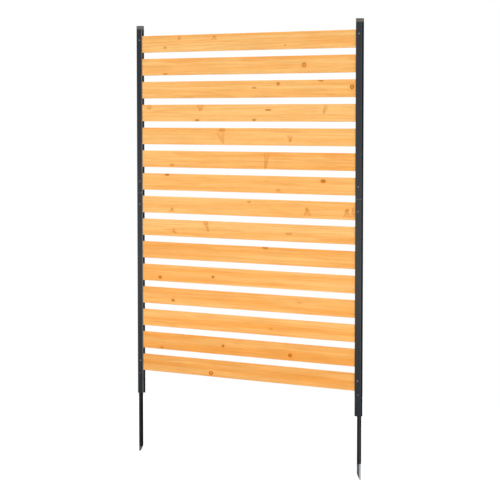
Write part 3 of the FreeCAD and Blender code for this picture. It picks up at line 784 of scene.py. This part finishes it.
def fastened(name, mesh, seats, turns, material, node):
    """One piece that holds a copy of the mesh at each seat, head towards the front."""
    bm = bmesh.new()
    face_front = Matrix.Rotation(math.radians(90.0), 4, "X")
    for seat, turn in zip(seats, turns):
        part = bmesh.new()
        part.from_mesh(mesh)
        part.transform(Matrix.Translation(seat) @ face_front @ Matrix.Rotation(turn, 4, "Z"))
        copied = bpy.data.meshes.new("copied")
        part.to_mesh(copied)
        part.free()
        bm.from_mesh(copied)
        bpy.data.meshes.remove(copied)
    for face in bm.faces:
        face.smooth = True
    made = object_from(bm, name)
    sharp = made.modifiers.new("edges", "EDGE_SPLIT")
    sharp.split_angle = math.radians(SHARP_EDGE)
    made.data.materials.append(material)
    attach(made, BODY)
    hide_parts(node)


def dress_fasteners(draw, steel, black):
    """Shaped screws and bolts in place of the plain turned ones."""
    screw = threaded_mesh("slat_screw", SCREW, SCREW_LENGTH, cross_outline(CROSS_REACH, CROSS_HALF_WIDTH))
    heights = [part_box("slat_%02d" % k)[1].z - drop for k, drop in SCREW_DROPS.items()]
    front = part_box("upper_left_post")[0].y
    for side in SIDES:
        low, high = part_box(side + "_slat_screws")
        x = 0.5 * (low.x + high.x)
        seats = [Vector((x, front, height)) for height in heights]
        turns = [draw.uniform(0.0, math.pi) for _ in seats]
        fastened(side + "_cross_screws", screw, seats, turns, steel, side + "_slat_screws")

        low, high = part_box(side + "_stake_bolt")
        middle = 0.5 * (low + high)
        bolt = threaded_mesh("stake_bolt", BOLT, high.y - front, hexagon(SOCKET_ACROSS))
        seat = Vector((middle.x, front, middle.z))
        fastened(side + "_socket_bolt", bolt, [seat], [draw.uniform(0.0, 1.0)], black,
                 side + "_stake_bolt")
        bpy.data.meshes.remove(bolt)
    bpy.data.meshes.remove(screw)


# ---------------------------------------------------------------- finishes on the solids


def finish_node(nodes, name, material):
    """Puts a material in every slot of a solid."""
    node = nodes[name]
    if not node.material_slots:
        raise RuntimeError(name + " has no material slot")
    for held in node.material_slots:
        held.material = material


def dress_solids(nodes, draw):
    """Gives each solid its finish. Returns the two that the fasteners take."""
    groups = {"knot": knot_group(), "branch": branch_group()}
    for k in range(1, SLAT_COUNT + 1):
        name = "slat_%02d" % k
        low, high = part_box(name)
        finish_node(nodes, name, wood("oiled_" + name, k, 0.5 * (low.z + high.z), groups, draw))

    low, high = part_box("lower_left_post")
    post = post_finish(high.z, -high.x)
    cap = cap_finish(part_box("upper_left_post")[1].z)
    block = speckle_coat("spacer_plastic")[0]
    zinc = plated_finish("zinc_plate")
    for side in SIDES:
        for part in ("upper_%s_post", "lower_%s_post"):
            finish_node(nodes, part % side, post)
        finish_node(nodes, side + "_cap", cap)
        finish_node(nodes, side + "_post_joiner", zinc)
        finish_node(nodes, side + "_stake_nut", zinc)
        finish_node(nodes, side + "_stake", stake_finish(side))
        for k in range(1, SLAT_COUNT):
            finish_node(nodes, "%s_spacer_%02d" % (side, k), block)
    return plated_finish("screw_steel"), speckle_coat("bolt_black")[0]


# ---------------------------------------------------------------- stage, light, camera


def make_floor(height):
    """A pale round floor under the stakes."""
    bm = bmesh.new()
    bmesh.ops.create_circle(bm, cap_ends=True, radius=FLOOR_RADIUS, segments=FLOOR_CORNERS)
    floor = object_from(bm, "floor")
    floor.location = (0.0, 0.0, height)
    material, n, shader = new_material("floor_pale")
    cloud = n.noise(n.place(), scale=FLOOR_CLOUD_PATTERN)
    clouded = tuple(FLOOR_CLOUD_SHARE * c for c in FLOOR_TONE)
    n.put(n.mix(cloud, FLOOR_TONE, clouded), shader.inputs["Base Color"])
    shader.inputs["Emission Color"].default_value = (1.0, 1.0, 1.0, 1.0)
    shader.inputs["Emission Strength"].default_value = FLOOR_GLOW
    shader.inputs["Roughness"].default_value = FLOOR_ROUGHNESS
    shader.inputs["Specular IOR Level"].default_value = 0.0
    floor.data.materials.append(material)
    floor.visible_glossy = False


def make_sun(name, comes_from, strength, spread):
    """A wide sun that shines towards the object and leaves no mirror image."""
    lamp = bpy.data.lights.new(name, "SUN")
    lamp.energy = strength
    lamp.angle = math.radians(spread)
    holder = bpy.data.objects.new(name, lamp)
    bpy.context.scene.collection.objects.link(holder)
    holder.visible_glossy = False
    holder.rotation_euler = (-Vector(comes_from)).to_track_quat("-Z", "Y").to_euler()


def round_light(n, towards, stands, strength, fades, ends):
    """A round soft light far away: full up to one angle from its middle, gone at the other."""
    to_light = n.vector("DOT_PRODUCT", towards, tuple(Vector(stands).normalized()))
    edge, core = (math.cos(math.radians(angle)) for angle in (ends, fades))
    return n.math("MULTIPLY", n.ramp(to_light, (edge, 0.0), (core, 1.0)), strength)


def make_world():
    """A pale room, dim behind the panel, with wide soft lights. The camera sees it plain white."""
    world = bpy.data.worlds.new("studio")
    bpy.context.scene.world = world
    world.use_nodes = True
    n = Nodes(world.node_tree)
    surface = world.node_tree.nodes["Background"]
    towards = n.add("ShaderNodeTexCoord").outputs["Generated"]
    in_front = n.vector("DOT_PRODUCT", towards, (0.0, -1.0, 0.0))
    room = n.ramp(n.math("MULTIPLY_ADD", in_front, 0.5, 0.5), *ROOM_LEVELS)
    rise = n.math("MULTIPLY_ADD", n.split(towards)[2], 0.5, 0.5)
    level = n.vector("MULTIPLY", room, n.ramp(rise, *WALL_TONES))
    for light in SOFT_LIGHTS:
        level = n.vector("ADD", level, round_light(n, towards, *light))
    ray = n.add("ShaderNodeLightPath").outputs
    sheen = n.math("MAXIMUM", n.ramp(rise, *SHEEN_LOW), round_light(n, towards, *SHEEN_BEHIND))
    level = n.vector("ADD", level, n.math("MULTIPLY", sheen, ray["Is Glossy Ray"]))
    n.put(n.mix(ray["Is Camera Ray"], level, (1.0, 1.0, 1.0)), surface.inputs["Color"])
    surface.inputs["Strength"].default_value = 1.0


def make_camera():
    """The photograph's camera: it looks slightly down at the panel from its right front."""
    lens = bpy.data.cameras.new("camera")
    lens.sensor_width = CAMERA_SENSOR
    lens.lens = CAMERA_LENS
    lens.shift_y = CAMERA_SHIFT_Y
    lens.clip_end = CAMERA_REACH
    camera = bpy.data.objects.new("camera", lens)
    camera.location = CAMERA_PLACE
    camera.rotation_euler = (math.radians(90.0 - CAMERA_DIP), 0.0, math.radians(CAMERA_TURN))
    bpy.context.scene.collection.objects.link(camera)
    bpy.context.scene.camera = camera


def build(nodes, ground):
    """Dresses the fixed frame, then sets the stage round it. ground is the height of the floor."""
    bpy.context.scene.view_settings.view_transform = "Standard"
    draw = random.Random(SEED)
    steel, black = dress_solids(nodes, draw)
    dress_fasteners(draw, steel, black)
    make_floor(ground)
    make_world()
    for sun in SUNS:
        make_sun(*sun)
    make_camera()


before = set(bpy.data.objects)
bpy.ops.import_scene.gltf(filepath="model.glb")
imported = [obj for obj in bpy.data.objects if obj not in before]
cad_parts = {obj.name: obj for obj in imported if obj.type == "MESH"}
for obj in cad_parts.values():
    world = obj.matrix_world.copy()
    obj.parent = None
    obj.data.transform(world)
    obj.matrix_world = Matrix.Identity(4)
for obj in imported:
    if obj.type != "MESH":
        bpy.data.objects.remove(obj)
cad_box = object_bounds()
build(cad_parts, cad_box[0].z)
